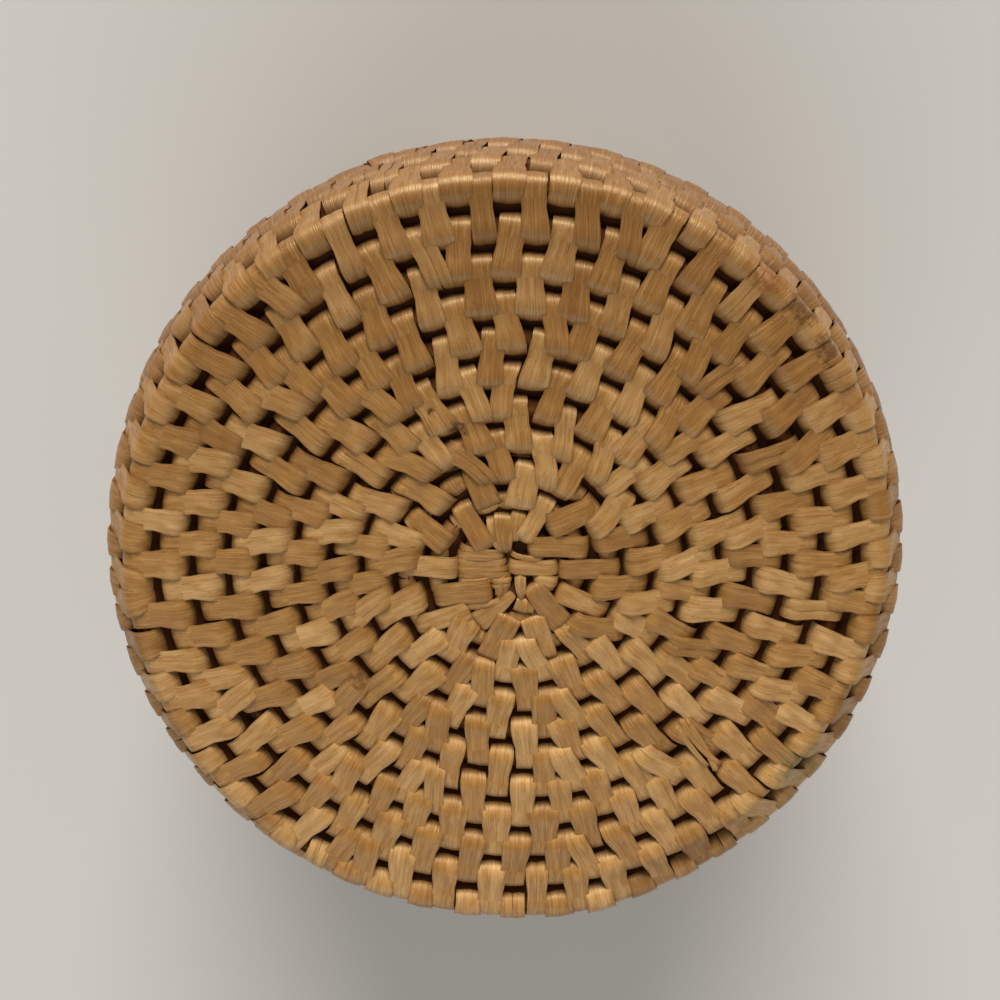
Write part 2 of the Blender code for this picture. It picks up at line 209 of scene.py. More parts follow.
class BasketSizes(bpy.types.PropertyGroup):
    """The coil's driving sizes, the same as the solids'."""

    disc_radius: length(
        "Disc radius", 0.070, "Lid top and base, to the outside of the last flat row")
    wall_swell: length("Wall swell", 0.003, "How far the barrel wall bulges past the disc")
    centre_radius: length("Centre radius", 0.0018, "Where the spiral starts, from its own centre")
    centre_pitch: length("Centre pitch", 0.0050, "Row spacing beside the coil's start")
    row_pitch: length("Row pitch", 0.0065, "Row spacing at the rim of the disc and up the walls")
    row_gap: length("Row gap", 0.0007, "Open line between two wrapped rows")
    corner_ease: length(
        "Corner ease", 0.0003, "More room for the row that turns the corner onto the wall")
    coil_off_axis: length(
        "Coil off axis", 0.0024, "Distance of the spiral's centre from the basket's axis")
    coil_off_angle: bpy.props.FloatProperty(
        name="Coil off angle", default=math.radians(47), subtype='ANGLE',
        description="Direction of the spiral's centre")
    wall_rows: bpy.props.IntProperty(
        name="Wall rows", default=7, description="Rows up the body's wall")
    shoulder_rows: bpy.props.IntProperty(
        name="Shoulder rows", default=2, description="Top wall rows, of a cane of their own")
    neck_rows: bpy.props.IntProperty(
        name="Neck rows", default=4, description="Rows of the collar inside the mouth")
    lid_wall_rows: bpy.props.IntProperty(
        name="Lid wall rows", default=4, description="Rows down the lid's wall")
    lid_rim_rows: bpy.props.IntProperty(
        name="Lid rim rows", default=1, description="Lowest lid row, of a cane of its own")
    seat_gap: length("Seat gap", 0.0003, "Neck inside the wall")
    lid_play: length("Lid play", 0.0005, "Neck to the lid's wall")
    end_gap: length("End gap", 0.003, "Between the ends of the rim cane and the shoulder cane")
    neck_inset: length(
        "Neck inset", 0.0008,
        "Stitched neck inside the solid neck's line, so that its bumps clear the wall")


class SplintSizes(bpy.types.PropertyGroup):
    """The flat splint and the rhythm of the stitches."""

    width: length("Width", 0.0051, "Width of the splint, at a stitch's inner end")
    thickness: length("Thickness", 0.00035, "Thickness of the splint")
    crown: length("Crown", 0.00014, "How much the splint arches across")
    spacing: length("Spacing", 0.0082, "Along a row, from one long stitch to the next")
    core_share: bpy.props.FloatProperty(
        name="Core share", default=0.335,
        description="Radius of the foundation cane in row spacings")
    wall_press: bpy.props.FloatProperty(
        name="Wall press", default=0.06, description="Closer rows up the walls, in row spacings")
    sag: length("Sag", 0.0003, "How far a stitch sinks between its two rows")
    foot_depth: length(
        "Foot depth", 0.0012, "Height over which the base is pressed flat where it stands")
    seed: bpy.props.IntProperty(name="Seed", default=11, description="Pattern of the stitches")


class BasketColours(bpy.types.PropertyGroup):
    """Tones of the rattan, from the photograph."""

    pale: colour("Pale", "cba36c", "Lightest splint")
    golden: colour("Golden", "976a33", "Common splint")
    brown: colour("Brown", "6c431b", "Darkest splint")
    # painted shade: this dark brown darkens the splints and the cane's face in the gaps, where
    # shade falls; it is also the colour of real dust, cracks, specks and dark stains
    dust_and_shade: colour("Shade", "40220c", "Dust in the gaps")
    # painted shade: near-black cane colour where the foundation lies deep in the gaps
    core: colour("Core", "3c1f0a", "Foundation cane")
    rust: colour("Rust", "74401c", "Reddish stains")
    moss: colour("Moss", "6e6a40", "Greenish stain")
    neck: colour("Neck", "c2a67e", "Unhandled neck splint")
    wall: colour("Wall", "76563f", "Common splint of the walls")
    sheen: colour("Sheen", "e6c698", "Gloss of the splints' skin")
    floor: colour("Floor", "c6c2ba", "Floor")


# --- vectors -----------------------------------------------------------------------------------

def unit(vectors):
    """Vectors of length one."""
    return vectors / np.linalg.norm(vectors, axis=-1, keepdims=True)


def square_to(vectors, tangents):
    """The part of the vectors that is square to the tangents, at length one."""
    return unit(vectors - np.sum(vectors * tangents, axis=-1, keepdims=True) * tangents)


def angle_of(vectors, zero, quarter):
    """Angle of the vectors from one direction towards another, from 0 to a full turn."""
    height = np.sum(vectors * quarter, axis=-1)
    return np.arctan2(height, np.sum(vectors * zero, axis=-1)) % (2 * math.pi)


# --- the coils ---------------------------------------------------------------------------------

class Coil:
    """A cane's centre line with the row spacing at each sample, in the maker's frame."""

    def __init__(self, points, pitches):
        self.points = np.array(points)
        self.pitches = np.array(pitches)
        self.tangents = unit(np.gradient(self.points, axis=0))
        steps = np.linalg.norm(np.diff(self.points, axis=0), axis=1)
        self.lengths = np.concatenate(((0.0,), np.cumsum(steps)))
        self.turn_per_metre = 1 / SAMPLES / np.gradient(self.lengths)
        self.wall = np.clip((self.points[:, 2] - WALL_TONE_FROM) / WALL_TONE_OVER, 0.0, 1.0)

    def turns(self):
        """How many turns the coil has."""
        return (len(self.points) - 1) / SAMPLES

    def at(self, values, turns):
        """One of the coil's lists, read between its samples."""
        place = np.clip(np.asarray(turns) * SAMPLES, 0, len(self.points) - 1.001)
        low = place.astype(int)
        share = place - low
        if values.ndim > 1:
            share = share[..., None]
        return values[low] * (1 - share) + values[low + 1] * share

    def turn_after(self, turns, distance):
        """The place some way along the cane from another, in turns."""
        length = self.at(self.lengths, turns) + distance
        return float(np.interp(length, self.lengths, np.arange(len(self.lengths)) / SAMPLES))


def cane_radius(sizes):
    """Radius of a full-size wrapped cane."""
    return (sizes.row_pitch - sizes.row_gap) / 2


def half_flat(sizes):
    """Half of a solid cane's thickness, from one flat side to the other."""
    return cane_radius(sizes) * math.cos(math.pi / 6)


def shoulder_radius(sizes):
    """Centre line of the body's top rows."""
    return sizes.disc_radius + sizes.wall_swell - cane_radius(sizes)


def neck_radius(sizes):
    """Centre line of the solid neck, inside the body's top row."""
    return shoulder_radius(sizes) - 2 * half_flat(sizes) - sizes.seat_gap


def lid_rim_radius(sizes):
    """Centre line of the lid's lowest row, clear of the neck."""
    shrink = math.cos(math.pi / SOLID_STEPS)
    return (neck_radius(sizes) + half_flat(sizes) + sizes.lid_play) / shrink + half_flat(sizes)


def barrel_radius(sizes, height, top_radius, wall_rows):
    """Radius of a wall's centre line, bulging from the disc's edge to its top."""
    foot = sizes.disc_radius - cane_radius(sizes)
    share = min(max(height / (wall_rows * sizes.row_pitch), 0.0), 1.0)
    return foot + (top_radius - foot) * math.sin(share * math.pi / 2)


def lay_row_on(sizes, below, spacing, top_radius, wall_rows):
    """A point of a wall row, on the barrel and one spacing from the point under it."""
    under = math.hypot(below[0], below[1])
    low, high = 0.0, math.pi
    for _ in range(HALVINGS):
        lean = (low + high) / 2
        outward = spacing * math.cos(lean)
        rise = spacing * math.sin(lean)
        if under + outward > barrel_radius(sizes, below[2] + rise, top_radius, wall_rows):
            low = lean
        else:
            high = lean
    share = 1 + outward / under
    return below[0] * share, below[1] * share, below[2] + rise


def spiral_hub(sizes):
    """The spiral's own centre, in the maker's frame."""
    angle = sizes.coil_off_angle
    return sizes.coil_off_axis * np.array((math.cos(angle), -math.sin(angle)))


def wind_cane(sizes, top_radius, wall_rows):
    """Wind a flat spiral that climbs into a wall, face down, and say where the wall starts."""
    full = cane_radius(sizes)
    foot = sizes.disc_radius - full
    turns_flat = (foot - sizes.centre_radius) * 2 / (sizes.centre_pitch + sizes.row_pitch)
    growth = (sizes.row_pitch - sizes.centre_pitch) / turns_flat
    hub = spiral_hub(sizes)
    points, pitches = [], []
    wall_start = None
    step = 0
    while wall_start is None or step <= wall_start + wall_rows * SAMPLES:
        turns = step / SAMPLES
        pitch = min(sizes.centre_pitch + growth * turns, sizes.row_pitch)
        radius = sizes.centre_radius + sizes.centre_pitch * turns + growth * turns ** 2 / 2
        angle = -math.pi / 2 - 2 * math.pi * turns
        flat = hub + radius * np.array((math.cos(angle), math.sin(angle)))
        on_solid_step = step % (SAMPLES // SOLID_STEPS) == 0
        if wall_start is None and on_solid_step and math.hypot(*flat) > foot:
            wall_start = step
        if wall_start is None:
            points.append((flat[0], flat[1], (pitch - sizes.row_gap) / 2 - full))
        else:
            below = step - SAMPLES
            spacing = (pitches[below] - sizes.row_gap) / 2 + full + sizes.row_gap
            if below < wall_start:
                spacing += sizes.corner_ease
            points.append(lay_row_on(sizes, points[below], spacing, top_radius, wall_rows))
        pitches.append(pitch)
        step += 1
    return Coil(points, pitches), wall_start / SAMPLES


def wind_neck(sizes, body, lid_face):
    """A coil rising inside the mouth from beside the top wall row, in the body's maker's frame."""
    shrink = math.cos(math.pi / SOLID_STEPS)
    first = len(body.points) - 1 - SAMPLES
    points = []
    for step in range(sizes.neck_rows * SAMPLES + 1):
        beside = body.points[first + step % SAMPLES]
        height = body.points[first][2] + sizes.row_pitch * step / SAMPLES
        lid_wall = barrel_radius(
            sizes, lid_face - height, lid_rim_radius(sizes), sizes.lid_wall_rows)
        room = (lid_wall - half_flat(sizes)) * shrink - sizes.lid_play - half_flat(sizes)
        radius = min(neck_radius(sizes), room) - sizes.neck_inset
        share = radius / math.hypot(beside[0], beside[1])
        points.append((beside[0] * share, beside[1] * share, height))
    return Coil(points, [sizes.row_pitch] * len(points))


def foot_height(sizes):
    """Height of the base row's centre line above the surface that the basket stands on."""
    return half_flat(sizes) - 2 * cane_radius(sizes) * FOOT_CUT_SHARE


def lid_height(sizes, lid):
    """Height of the lid's flat rows, read from the solid of its top."""
    innermost = (lid.at(lid.pitches, START_TURNS + 0.5 / SOLID_STEPS) - sizes.row_gap) / 2
    flat_side = innermost * (1 - math.cos(math.pi / 6))
    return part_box("lid_top_coil")[1].z - (cane_radius(sizes) - flat_side)


class Basket:
    """The three coils, where the walls start, and the matrices that set them in place."""

    def __init__(self, sizes):
        self.body, self.body_wall = wind_cane(sizes, shoulder_radius(sizes), sizes.wall_rows)
        self.lid, self.lid_wall = wind_cane(sizes, lid_rim_radius(sizes), sizes.lid_wall_rows)
        lid_end = self.lid.points[-1] * (1, -1, -1)
        meeting = math.atan2(lid_end[1], lid_end[0]) + sizes.end_gap / shoulder_radius(sizes)
        body_end = self.body.points[-1]
        spin = meeting - math.atan2(body_end[1], body_end[0])
        foot = foot_height(sizes)
        seat = lid_height(sizes, self.lid)
        self.body_place = Matrix.Translation((0, 0, foot)) @ Matrix.Rotation(spin, 4, 'Z')
        self.lid_place = Matrix.Translation((0, 0, seat)) @ Matrix.Rotation(math.pi, 4, 'X')
        self.neck = wind_neck(sizes, self.body, seat - foot)


# --- the stitches ------------------------------------------------------------------------------

def bare_places(coil, splint):
    """Places along a coil's first turn where the second turn's stitches find their holes."""
    places = [0.0]
    while places[-1] < 1.0:
        places.append(coil.turn_after(places[-1], splint.spacing))
    return places


def lay_stitches(coil, splint, rng, first_places):
    """Places of the long stitches: outer edge, gap, hole, width kept in the hole, and lift."""
    outs, mids = list(first_places), list(first_places)
    holes, pinches, lifts = [], [], []
    first = len(outs)
    hole = -1
    repeated = False
    while True:
        spacing = splint.spacing * rng.uniform(1 - UNEVEN_SPACING, 1 + UNEVEN_SPACING)
        out = coil.turn_after(outs[-1], spacing)
        if out >= coil.turns() - 0.002:
            break
        mm = 0.001 * coil.at(coil.turn_per_metre, out)
        ahead = (mids[hole + 1] + mids[hole + 2]) / 2 + 1
        if not holes:
            out = max(out, ahead - 500 * spacing * mm)
        if hole >= 0 and not repeated and ahead - out > 0.5 * spacing * 1000 * mm:
            repeated = True
            at_hole = holes[-1] + SHARED_HOLE * mm
            holes[-1] -= SHARED_HOLE * mm
            mids[-1] = (outs[-1] + holes[-1]) / 2
            pinches[-1] = SHARED_PINCH
            mid = (out + at_hole) / 2
            pinch = SHARED_PINCH
            lift = SHARED_LIFT * splint.thickness
        else:
            repeated = False
            hole += 1
            out += CATCH_UP * np.clip(ahead - out, -CATCH_UP_MOST * mm, CATCH_UP_MOST * mm)
            at_hole = ahead + rng.uniform(-UNEVEN_HOLE, UNEVEN_HOLE) * mm
            mid = (out + at_hole) / 2
            pinch = rng.uniform(0.92, 1.0)
            lift = rng.uniform(0.0, 0.25) * splint.thickness
        outs.append(out)
        mids.append(mid)
        holes.append(at_hole)
        pinches.append(pinch)
        lifts.append(lift)
    return np.array(outs), mids[first:], holes, pinches, lifts, first


def stitch_coil(coil, splint, rng, first_places, single_spans):
    """A coil's splints, one row each: out, gap, hole, width, pinch, single or not, tone, lift."""
    outs, mids, holes, pinches, lifts, first = lay_stitches(coil, splint, rng, first_places)
    rows = []
    for out, mid, hole, pinch, lift in zip(outs[first:], mids, holes, pinches, lifts):
        wider = 1 + OUTER_WIDER * min(1, max(0, mid - WIDER_FROM) / WIDER_OVER)
        width = splint.width * rng.uniform(0.88, 1.08) * wider
        tone = rng.uniform(0, 1)
        if rng.uniform(0, 1) < SPLIT_CHANCE:
            apart = width * SPLIT_APART * coil.at(coil.turn_per_metre, out)
            for side in (-apart, apart):
                higher = max(side, 0) / apart * SPLIT_OVER * splint.thickness
                rows.append((out + side * 0.9, mid + side * 0.72,
                             hole + side * rng.uniform(0.8, 1.05), width * SPLIT_WIDTH,
                             pinch, 0.0, tone, lift + higher))
        else:
            rows.append((out, mid, hole, width, pinch, 0.0, tone, lift))
    place = UNDER_FROM
    while place < UNDER_TO < coil.turns():
        rows.append((place, place, place, UNDER_WIDTH * splint.width, 1.0, 1.0,
                     GOLDEN * len(rows) % 1, -UNDER_SINK * splint.thickness))
        place = coil.turn_after(place, UNDER_WIDTH * splint.width)
    for low, high in single_spans:
        inside = outs[(outs > low) & (outs < high)]
        half = splint.width / 2 * coil.at(coil.turn_per_metre, inside[-1])
        step = SINGLE_STEP * half
        to_end = np.arange(inside[-1] + step, coil.turns() - 1.1 * half, step)
        to_end = np.append(to_end, coil.turns() - half) if high >= coil.turns() else ()
        for between in np.concatenate(((inside[:-1] + inside[1:]) / 2, to_end)):
            lean = rng.uniform(-0.0003, 0.0003) * coil.at(coil.turn_per_metre, between)
            rows.append((between + lean, between, between - lean,
                         splint.width * rng.uniform(0.88, 0.96), 1.0, 1.0, rng.uniform(0, 1), 0.0))
    return np.array(rows)


def splint_rings(coil, splint, table):
    """Vertices, lengths along and depth in the gaps of closed splints, one ring at each station."""
    out, mid, hole, width, pinch, single, _tone, lift = (column[:, None] for column in table.T)
    run = coil.at(coil.pitches, out) / 2 * (1 - single)
    angles = STATION_ANGLES + (EVEN_ANGLES - STATION_ANGLES) * single
    bend = BEND * coil.at(coil.pitches, out)
    here, inside, beyond, outer = (coil.at(coil.points, mid - k) for k in (0, 1, 2, -1))
    tangent = coil.at(coil.tangents, mid)
    away = square_to(here - inside, tangent)
    up = np.cross(away, tangent)
    to_outer = np.where(mid + 1 < coil.turns(), angle_of(outer - here, up, away), math.pi / 2)
    to_hole = np.where(mid > 2, angle_of(beyond - inside, up, away), 1.5 * math.pi)

    total = 4 * run + 2 * math.pi * bend
    lengths = bend * angles + run * STATION_RUN / 2
    at_outer = run + bend * to_outer
    at_hole = 3 * run + bend * to_hole
    over_two_rows = out + (hole - out) * (lengths - at_outer) / (at_hole - at_outer)
    back_under = hole + (mid - hole) * (lengths - at_hole) / (total - at_hole)
    place = np.where(lengths <= at_outer, mid + (out - mid) * lengths / at_outer,
                     np.where(lengths <= at_hole, over_two_rows, back_under))

    here, inside = coil.at(coil.points, place), coil.at(coil.points, place - 1)
    tangent = coil.at(coil.tangents, place)
    away = square_to(here - inside, tangent)
    up = np.cross(away, tangent)
    normal = np.cos(angles)[..., None] * up + np.sin(angles)[..., None] * away
    wall = coil.at(coil.wall, place)
    wider = splint.wall_press * wall * np.sin(angles) ** 2
    core = (splint.core_share + wider) * coil.at(coil.pitches, place)
    core_inside = (splint.core_share + wider) * coil.at(coil.pitches, place - 1)
    core_inside = core_inside + OVER_INSIDE * splint.thickness
    share = (STATION_SHARE * (1 - single))[..., None]
    rise = lift * (STATION_LIFT + (1 - STATION_LIFT) * single)
    sunk = (splint.sag * STATION_SAG * (1 - single) - rise)[..., None]
    centre = (here + normal * core[..., None]) * (1 - share) - normal * sunk
    centre = centre + (inside + normal * core_inside[..., None]) * share

    near_hole = np.exp(-((lengths - at_hole) / PINCH_REACH) ** 2)
    profile = STATION_WIDTH + (1 - STATION_WIDTH) * single
    widths = width * profile * (1 - (1 - pinch) * near_hole)
    # depth: how near a gap the splint lies; it darkens the splint there as dust and painted shade
    deep = np.minimum(np.abs(lengths - at_hole), np.abs(lengths - at_outer))
    depth = np.clip(1 - deep / DUST_AND_SHADE_REACH, 0, 1)

    ahead = unit(np.roll(centre, -1, axis=1) - np.roll(centre, 1, axis=1))
    sideways = unit(np.cross(normal, ahead))
    lift = splint.thickness * UP + splint.crown * CROWN * (widths / splint.width)[..., None]
    rings = centre[:, :, None] + normal[:, :, None] * lift[..., None]
    rings = rings + sideways[:, :, None] * (ACROSS * widths[..., None] / 2)[..., None]
    return rings, np.concatenate((lengths, total), axis=1), depth, wall


def drawn_rings(sizes, splint, table, inside):
    """Rings, lengths and depth of a table's splints, outside or a quarter turn on inside."""
    hub = spiral_hub(sizes)
    all_rings, all_lengths, all_depths = [], [], []
    for outer, middle, inner, widths, faces, crown in table:
        length = math.dist(outer, inner)
        inset = END_INSET * min(1.0, length / SHORT_SPLINT) / length
        flat = np.linspace(inset[-1], 1 - inset[-1], FLAT_RINGS + 2)[1:-1]
        share = np.concatenate((inset, flat, 1 - inset[::-1]))
        drop = np.concatenate((END_DROP, np.zeros(FLAT_RINGS), END_DROP[::-1]))
        bow = 4 * share * (1 - share)
        knots = [np.array(knot) * (1, -1) for knot in (outer, middle, inner)]
        if inside:
            knots = [np.array((-knot[1], knot[0])) for knot in knots]
        path = np.outer(1 - share, knots[0]) + np.outer(share, knots[2])
        path += np.outer(bow, knots[1] - (knots[0] + knots[2]) / 2)
        bulge = bow * (widths[1] - (widths[0] + widths[2]) / 2)
        width = (1 - share) * widths[0] + share * widths[2] + bulge
        height = faces[0] + (faces[1] - faces[0]) * share ** 2 * (3 - 2 * share) - drop
        if length > LONG_SPLINT:
            height -= LONG_SAG * bow ** 4
        height = height - INSIDE_LOWER if inside else -height
        centre = np.column_stack((path / 1000 + hub, height / 1000))
        ahead = unit(np.gradient(centre, axis=0))
        level = np.gradient(path, axis=0)
        level[:2], level[-2:] = level[2], level[-3]
        facing = (0.0, 0.0, 1.0 if inside else -1.0)
        sideways = unit(np.cross(facing, np.column_stack((level, np.zeros(len(level))))))
        normal = unit(np.cross(ahead, sideways))
        lift = splint.thickness * UP + CROWN * crown / 1000
        rings = centre[:, None] + normal[:, None] * lift[:, None]
        rings = rings + sideways[:, None] * (ACROSS * width[:, None] / 2000)[..., None]
        steps = np.linalg.norm(np.diff(centre, axis=0), axis=1)
        lengths = np.concatenate(((0.0,), np.cumsum(steps)))
        all_rings.append(rings)
        all_lengths.append(np.append(lengths, lengths[-1]))
        # ends that drop into the gap get depth, which darkens them as dust and painted shade
        all_depths.append(np.clip((drop - 0.5) / 1.5, 0, 1))
    return np.array(all_rings), np.array(all_lengths), np.array(all_depths)


# --- meshes ------------------------------------------------------------------------------------

class Swept:
    """Plain rings swept with bmesh operators, the template for all copies of one shape."""

    def __init__(self, sides, rings, closed, material_index):
        self.sides, self.rings = sides, rings
        work = bmesh.new()
        bmesh.ops.create_circle(work, cap_ends=False, segments=sides, radius=1.0)
        first = list(work.edges)
        edges = first
        for _ in range(rings - 1):
            made = bmesh.ops.extrude_edge_only(work, edges=edges)["geom"]
            ring = {part for part in made if isinstance(part, bmesh.types.BMVert)}
            edges = [part for part in made if isinstance(part, bmesh.types.BMEdge)
                     and part.verts[0] in ring and part.verts[1] in ring]
            bmesh.ops.translate(work, verts=list(ring), vec=(0, 0, 1))
        if closed:
            bmesh.ops.bridge_loops(work, edges=first + edges)
        else:
            bmesh.ops.edgeloop_fill(work, edges=first)
            bmesh.ops.edgeloop_fill(work, edges=edges)
        for face in work.faces:
            face.material_index = material_index
        work.loops.layers.uv.new("strip")
        self.mesh = bpy.data.meshes.new("template")
        work.to_mesh(self.mesh)
        work.free()
        corners = []
        for face in self.mesh.polygons:
            places = [divmod(vertex, sides) for vertex in face.vertices]
            seam = {place[0] for place in places} == {0, rings - 1}
            corners += [(rings if seam and ring == 0 else ring, side) for ring, side in places]
        self.corners = np.array(corners)


class Weave:
    """What one piece is made of: copies of swept templates with their own vertices."""

    def __init__(self):
        self.parts = []

    def add(self, template, rings, lengths, across, tones, depth, wall):
        """Add copies: rings (copies, rings, sides, 3), lengths (copies, rings + 1) and the rest."""
        self.parts.append((template, rings, lengths, across, tones, depth, wall))

    def mesh(self, name, place, sizes, splint, pressed):
        """The finished mesh, in the row frame."""
        work = bmesh.new()
        points, uvs, tones, depths, walls = [], [], [], [], []
        for template, rings, lengths, across, tone, depth, wall in self.parts:
            for _ in range(len(rings)):
                work.from_mesh(template.mesh)
            points.append(rings.reshape(-1, 3))
            ring, side = template.corners.T
            along = lengths[:, ring]
            uvs.append(np.stack((along, across[side] + 0 * along), axis=-1).reshape(-1, 2))
            tones.append(np.repeat(tone, template.rings * template.sides))
            if depth.ndim == 2:
                depth = depth[..., None] * np.ones(template.sides)
            depths.append(depth.reshape(-1))
            walls.append(np.repeat(wall.reshape(-1), template.sides))
        mesh = bpy.data.meshes.new(name)
        work.to_mesh(mesh)
        work.free()
        rotation = np.array(place.to_3x3())
        points = np.concatenate(points) @ rotation.T + np.array(place.translation)
        if pressed:
            points[:, 2] = press_foot(points[:, 2], sizes, splint)
        mesh.vertices.foreach_set("co", points.ravel())
        mesh.uv_layers["strip"].data.foreach_set("uv", np.concatenate(uvs).ravel())
        for label, values in (("tone", tones), ("depth", depths), ("wall", walls)):
            attribute = mesh.attributes.new(label, 'FLOAT', 'POINT')
            attribute.data.foreach_set("value", np.concatenate(values))
        work = bmesh.new()
        work.from_mesh(mesh)
        bmesh.ops.recalc_face_normals(work, faces=work.faces)
        work.to_mesh(mesh)
        work.free()
        mesh.shade_smooth()
        mesh.set_sharp_from_angle(angle=math.radians(60))
        return mesh


def press_foot(heights, sizes, splint):
    """Flatten the lowest part of the base so that nothing goes below the surface it stands on."""
    lowest = foot_height(sizes) - splint.core_share * sizes.row_pitch
    lowest = lowest - STACKED * splint.thickness - splint.crown
    depth = splint.foot_depth
    squeezed = depth - (depth - heights) * depth / (depth - lowest)
    return np.where(heights < depth, squeezed, heights)


def core_rings(coil, splint, low, high):
    """A length of foundation cane as rings, its side pressed against the row inside."""
    first, last = low * SAMPLES / CORE_STEP, high * SAMPLES / CORE_STEP
    places = np.arange(math.ceil(first) + 1, math.floor(last))
    half = SPLICE_GAP / 2 * coil.at(coil.turn_per_metre, (low + high) / 2)
    places = np.concatenate(((low + half,), places * CORE_STEP / SAMPLES, (high - half,)))
    centre = coil.at(coil.points, places)
    later = np.where(places < 1, places + 1, places)
    between = coil.at(coil.points, later - 1) - coil.at(coil.points, later)
    inward = square_to(between, coil.at(coil.tangents, places))
    other = np.cross(coil.at(coil.tangents, places), inward)
    angles = np.arange(CORE_SIDES) * 2 * math.pi / CORE_SIDES
    radius = splint.core_share * coil.at(coil.pitches, places)
    radii = np.repeat(radius[:, None], CORE_SIDES, axis=1)
    radii[:, 0] = np.where(places < 1, radius, np.linalg.norm(between, axis=1) - 0.98 * radius)
    around = np.cos(angles)[:, None] * inward[:, None] + np.sin(angles)[:, None] * other[:, None]
    rings = centre[:, None] + around * radii[..., None]
    lengths = coil.at(coil.lengths, places)
    return rings[None], np.concatenate((lengths, lengths[-1:]))[None]


def add_length(weave, templates, coil, splint, table, low, high):
    """Add the splints and the foundation of one length of cane to a piece."""
    chosen = table[(table[:, 0] >= low) & (table[:, 0] < high)]
    if len(chosen):
        rings, lengths, depth, wall = splint_rings(coil, splint, chosen)
        weave.add(templates["splint"], rings, lengths, ACROSS, chosen[:, 6], depth, wall)
    rings, lengths = core_rings(coil, splint, max(low, CORE_FROM), high)
    template = Swept(CORE_SIDES, rings.shape[1], False, 1)
    across = np.linspace(-1, 1, CORE_SIDES)
    ones = np.ones(rings.shape[:2])
    weave.add(template, rings, lengths, across, np.full(1, 0.5), ones[..., None] * CORE_SHADE_DEPTH, ones)


# --- materials ---------------------------------------------------------------------------------

def linear(hexcode):
    """A linear colour from an sRGB hex code."""
    channels = [int(hexcode[k:k + 2], 16) / 255 for k in (0, 2, 4)]
    return tuple(c / 12.92 if c <= 0.04045 else ((c + 0.055) / 1.055) ** 2.4
                 for c in channels) + (1.0,)


def add_node(tree, kind, values=(), **settings):
    """Add a node, set it, and set or link its inputs, given as (input, value or socket) pairs."""
    node = tree.nodes.new(kind)
    for key, value in settings.items():
        setattr(node, key, value)
    for key, value in values:
        if isinstance(value, bpy.types.NodeSocket):
            tree.links.new(value, node.inputs[key])
        else:
            node.inputs[key].default_value = value
    return node


def math_node(tree, operation, first, second=0.0, clamp=False):
    """One step of arithmetic."""
    return add_node(tree, 'ShaderNodeMath', ((0, first), (1, second)),
                    operation=operation, use_clamp=clamp).outputs[0]


def above(tree, value, start, gain):
    """0 where a value is below a start, and from there up to 1 as steeply as the gain says."""
    return math_node(tree, 'MULTIPLY', math_node(tree, 'SUBTRACT', value, start), gain, True)


def mix_colour(tree, share, first, second):
    """Mix two colours."""
    return add_node(tree, 'ShaderNodeMix', ((0, share), (6, first), (7, second)),
                    data_type='RGBA', clamp_factor=True).outputs[2]


def noise(tree, vector, scale, detail, roughness=0.5):
    """A noise value."""
    values = (("Vector", vector), ("Scale", scale), ("Detail", detail), ("Roughness", roughness))
    return add_node(tree, 'ShaderNodeTexNoise', values, noise_dimensions='3D').outputs[0]


def ramp(tree, value, stops):
    """A colour ramp with (place, colour) stops."""
    node = add_node(tree, 'ShaderNodeValToRGB', ((0, value),))
    while len(node.color_ramp.elements) < len(stops):
        node.color_ramp.elements.new(0.5)
    for element, (place, colour) in zip(node.color_ramp.elements, stops):
        element.position = place
        element.color = colour
    return node.outputs[0]


def stain(tree, place, x, y, radius, strength):
    """How strong a mottled stain on the lid is; its place is in mm from the spiral's centre."""
    sizes = bpy.context.scene.basket_sizes
    hub = spiral_hub(sizes) * (1, -1)
    centre = (hub[0] + x / 1000, hub[1] + y / 1000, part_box("lid_start")[1].z)
    away = add_node(tree, 'ShaderNodeVectorMath', ((0, place), (1, centre)),
                    operation='DISTANCE').outputs[1]
    near = math_node(tree, 'SUBTRACT', 1.0, math_node(tree, 'MULTIPLY', away, 1000 / radius))
    mottle = math_node(tree, 'SUBTRACT', noise(tree, place, 900.0, 3.0, 0.6), 0.52)
    spread = math_node(tree, 'ADD', math_node(tree, 'MULTIPLY', near, 1.6),
                       math_node(tree, 'MULTIPLY', mottle, 5.0))
    spread = math_node(tree, 'MULTIPLY', spread, 1.0, True)
    reach = math_node(tree, 'MULTIPLY', near, 3.0, True)
    return math_node(tree, 'MULTIPLY', math_node(tree, 'MULTIPLY', spread, reach), strength)


def new_material(name):
    """An empty node material and its shader."""
    material = bpy.data.materials.new(name)
    material.use_nodes = True
    return material, material.node_tree, material.node_tree.nodes["Principled BSDF"]


def strip_point(tree, along, across, salt, lengthwise=1.0, crosswise=1.0, offset=0.0):
    """Where each splint reads its own stretch of a texture, scaled along and across."""
    return add_node(tree, 'ShaderNodeCombineXYZ', (
        (0, math_node(tree, 'MULTIPLY', along, lengthwise)),
        (1, math_node(tree, 'MULTIPLY', across, crosswise)),
        (2, math_node(tree, 'ADD', salt, offset)))).outputs[0]


